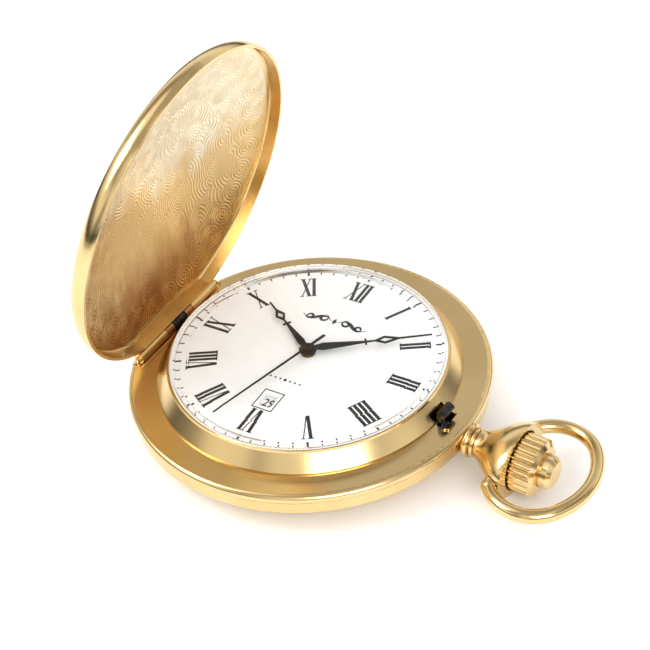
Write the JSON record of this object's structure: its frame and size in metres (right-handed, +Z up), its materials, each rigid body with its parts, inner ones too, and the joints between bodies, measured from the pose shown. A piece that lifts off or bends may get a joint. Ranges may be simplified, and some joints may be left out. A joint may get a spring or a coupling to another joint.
{
  "type": "pocket watch",
  "caption": "Full-hunter pocket watch lying on its back with the engraved front lid sprung open, white dial with Roman numerals, pendant with crown and bow.",
  "frame": {"origin": "centre of the flat on the back of the case, on the dial axis", "axes": "+Z up out of the dial, +X to 3 o'clock towards the pendant, +Y to 12 o'clock; the lid hinge runs along Y on the -X side"},
  "size_m": [0.065, 0.048, 0.0487],
  "materials": {
    "gold_polished": "polished gold plating",
    "steel_dark": "blackened",
    "steel_bright": "polished",
    "brass_plain": "plain",
    "dial_white": "satin white",
    "print_black": "gloss black",
    "date_white": "smooth",
    "glass": "clear",
    "gasket_clear": "translucent",
    "gasket_black": "matt",
    "holder_plastic": "moulded",
    "board_green": "coated",
    "chip_black": "matt",
    "coil_copper": "enamelled wire"
  },
  "bodies": {
    "case": {"back_gasket": "gasket_black", "battery": "steel_bright", "battery_clamp": "steel_bright", "bezel": "gold_polished", "bridge_screws": "steel_bright", "case_back": "gold_polished", "case_middle": "gold_polished", "chip": "chip_black", "circuit_board": "board_green", "coil": "coil_copper", "crystal": "glass", "crystal_gasket": "gasket_clear", "date_frame": "print_black", "dial": "dial_white", "hinge_pin": "steel_bright", "latch_screw": "steel_bright", "latch_spring": "steel_dark", "lift_spring": "steel_dark", "lift_spring_block": "steel_dark", "main_plate": "brass_plain", "movement_holder": "holder_plastic", "pendant": "gold_polished", "pendant_tube": "gold_polished", "quartz_can": "steel_bright", "stator": "steel_dark", "train_bridge": "brass_plain"},
    "lid": {"lid": "gold_polished", "lid_hinge_tubes": "gold_polished", "lid_catch": "gold_polished"},
    "bow": {"bow": "gold_polished"},
    "setting_lever": {"setting_lever": "steel_bright"},
    "crown": {"crown": "gold_polished", "crown_pin": "steel_bright", "stem": "steel_bright", "sliding_pinion": "steel_bright"},
    "button": {"push_button": "gold_polished", "push_sleeve": "steel_bright", "button_spring": "steel_bright"},
    "latch": {"latch": "steel_dark"},
    "minutes": {"minute_hand": "print_black", "cannon_pinion": "brass_plain", "center_wheel": "brass_plain"},
    "hours": {"hour_hand": "print_black", "hour_wheel": "brass_plain"},
    "minute_wheel": {"minute_wheel": "brass_plain"},
    "third_wheel": {"third_wheel": "brass_plain"},
    "seconds": {"second_hand": "print_black", "second_wheel": "brass_plain"},
    "intermediate_wheel": {"intermediate_wheel": "brass_plain"},
    "rotor": {"rotor": "steel_bright"},
    "date_ring": {"date_ring": "date_white"}
  },
  "joints": [
    {"name": "lid_hinge", "type": "hinge", "parent": "case", "child": "lid", "pos_m": [-0.02122, 0, 0.0068], "axis": [0, 1, 0], "range_deg": [0, 74.5], "stiffness_Nm_per_rad": 0.004, "springref_deg": -20.05},
    {"name": "bow_swivel", "type": "hinge", "parent": "case", "child": "bow", "pos_m": [0.02995, -0.00273, 0.0045], "axis": [0.0906, 0.9959, 0], "range_deg": [-100, 100]},
    {"name": "crown_pull", "type": "slide", "parent": "case", "child": "setting_lever", "axis": [0.9959, -0.0906, 0], "range_m": [0, 0.001]},
    {"name": "crown_turn", "type": "hinge", "parent": "setting_lever", "child": "crown", "pos_m": [0.02995, -0.00273, 0.0045], "axis": [0.9959, -0.0906, 0], "continuous": true},
    {"name": "button_press", "type": "slide", "parent": "crown", "child": "button", "axis": [-0.9959, 0.0906, 0], "range_m": [0, 0.0008], "stiffness_N_per_m": 400, "springref_m": -0.0005, "deforming": ["button_spring"]},
    {"name": "latch_slide", "type": "slide", "parent": "case", "child": "latch", "axis": [-0.9959, 0.0906, 0], "range_m": [0, 0.0008], "deforming": ["latch_spring"]},
    {"name": "minute_spin", "type": "hinge", "parent": "case", "child": "minutes", "pos_m": [0, 0, 0.0082], "axis": [0, 0, 1], "continuous": true},
    {"name": "hour_spin", "type": "hinge", "parent": "case", "child": "hours", "pos_m": [0, 0, 0.0082], "axis": [0, 0, 1], "continuous": true},
    {"name": "minute_wheel_spin", "type": "hinge", "parent": "case", "child": "minute_wheel", "pos_m": [-0.00197, -0.00138, 0.0072], "axis": [0, 0, 1], "continuous": true},
    {"name": "third_wheel_spin", "type": "hinge", "parent": "case", "child": "third_wheel", "pos_m": [0.0017, 0.00294, 0.0057], "axis": [0, 0, 1], "continuous": true},
    {"name": "second_spin", "type": "hinge", "parent": "case", "child": "seconds", "pos_m": [0, 0, 0.0082], "axis": [0, 0, 1], "continuous": true},
    {"name": "intermediate_spin", "type": "hinge", "parent": "case", "child": "intermediate_wheel", "pos_m": [-0.00263, 0.00096, 0.0052], "axis": [0, 0, 1], "continuous": true},
    {"name": "rotor_spin", "type": "hinge", "parent": "case", "child": "rotor", "pos_m": [-0.00471, 0.00216, 0.0052], "axis": [0, 0, 1], "continuous": true},
    {"name": "date_spin", "type": "hinge", "parent": "case", "child": "date_ring", "pos_m": [0, 0, 0.0077], "axis": [0, 0, 1], "continuous": true}
  ],
  "couplings": [
    {"joint": "latch_slide", "follows": "button_press", "ratio": 1},
    {"joint": "hour_spin", "follows": "minute_spin", "ratio": 0.083333},
    {"joint": "minute_wheel_spin", "follows": "minute_spin", "ratio": -0.33333},
    {"joint": "third_wheel_spin", "follows": "minute_spin", "ratio": -7.5},
    {"joint": "date_spin", "follows": "minute_spin", "ratio": 0.0013441},
    {"joint": "intermediate_spin", "follows": "second_spin", "ratio": -6},
    {"joint": "rotor_spin", "follows": "second_spin", "ratio": 30}
  ]
}
